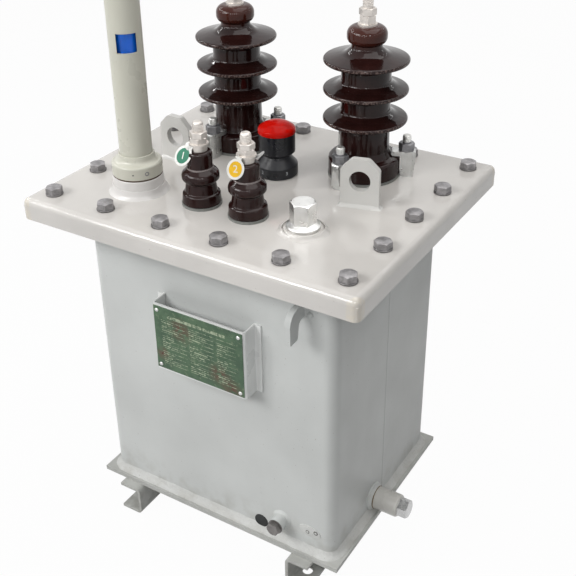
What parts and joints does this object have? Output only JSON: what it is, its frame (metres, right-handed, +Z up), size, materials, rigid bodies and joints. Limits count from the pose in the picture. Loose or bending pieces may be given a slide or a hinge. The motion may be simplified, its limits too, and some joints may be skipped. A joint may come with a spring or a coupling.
{
  "type": "pole mounted transformer",
  "caption": "Oil filled distribution transformer: bolted folded cover, ribbed porcelain bushings, tap changer, level gauge, lifting lugs and channel feet.",
  "frame": {"origin": "middle of the footprint on the plane the feet stand on", "axes": "+Z up, +X along the nameplate wall towards the drain, -Y out of the nameplate wall"},
  "size_m": [0.455, 0.373, 0.73],
  "materials": {
    "cover_paint": "semi-gloss warm grey enamel",
    "tank_paint": "satin cool grey enamel",
    "gauge_paint": "satin beige grey enamel",
    "porcelain": "dark brown glaze",
    "zinc": "bright zinc plate",
    "galvanised": "dull hot dip galvanising",
    "cast_clamp": "as cast, painted over at the foot",
    "gasket": "matt nitrile cork",
    "black_moulding": "satin black moulding",
    "red_moulding": "glossy red moulding",
    "blue_float": "glossy blue moulding",
    "gauge_glass": "clear tube",
    "nameplate_metal": "green enamelled plate, stained"
  },
  "bodies": {
    "root": {"foot_channel_left": "tank_paint", "foot_channel_right": "tank_paint", "base_plate": "tank_paint", "tank_front_sheet": "tank_paint", "tank_rear_sheet": "tank_paint", "tank_flange": "tank_paint", "cover_gasket": "gasket", "cover": "cover_paint", "lifting_lug_left": "cover_paint", "lifting_lug_right": "cover_paint", "tank_hook_front": "tank_paint", "tank_hook_rear": "tank_paint", "hv_gasket_left": "gasket", "hv_gasket_right": "gasket", "hv_porcelain_left": "porcelain", "hv_porcelain_right": "porcelain", "hv_terminal_left": "zinc", "hv_terminal_right": "zinc", "hv_clamps_left": "cast_clamp", "hv_clamps_right": "cast_clamp", "hv_clamp_studs_left": "galvanised", "hv_clamp_studs_right": "galvanised", "lv_gasket_left": "gasket", "lv_gasket_right": "gasket", "lv_porcelain_left": "porcelain", "lv_porcelain_right": "porcelain", "lv_terminal_left": "zinc", "lv_terminal_right": "zinc", "tap_changer_housing": "black_moulding", "tap_changer_cap": "red_moulding", "gauge_stub": "cover_paint", "gauge_gasket": "gasket", "gauge_collar": "gauge_paint", "gauge_tube": "gauge_paint", "gauge_glass": "gauge_glass", "gauge_float": "blue_float", "filler_boss": "cover_paint", "filler_plug": "zinc", "nameplate_bracket": "tank_paint", "nameplate": "nameplate_metal", "drain_pad": "tank_paint", "drain_body": "tank_paint", "drain_plug": "zinc", "earth_boss": "tank_paint", "earth_bolt": "galvanised"}
  },
  "joints": []
}
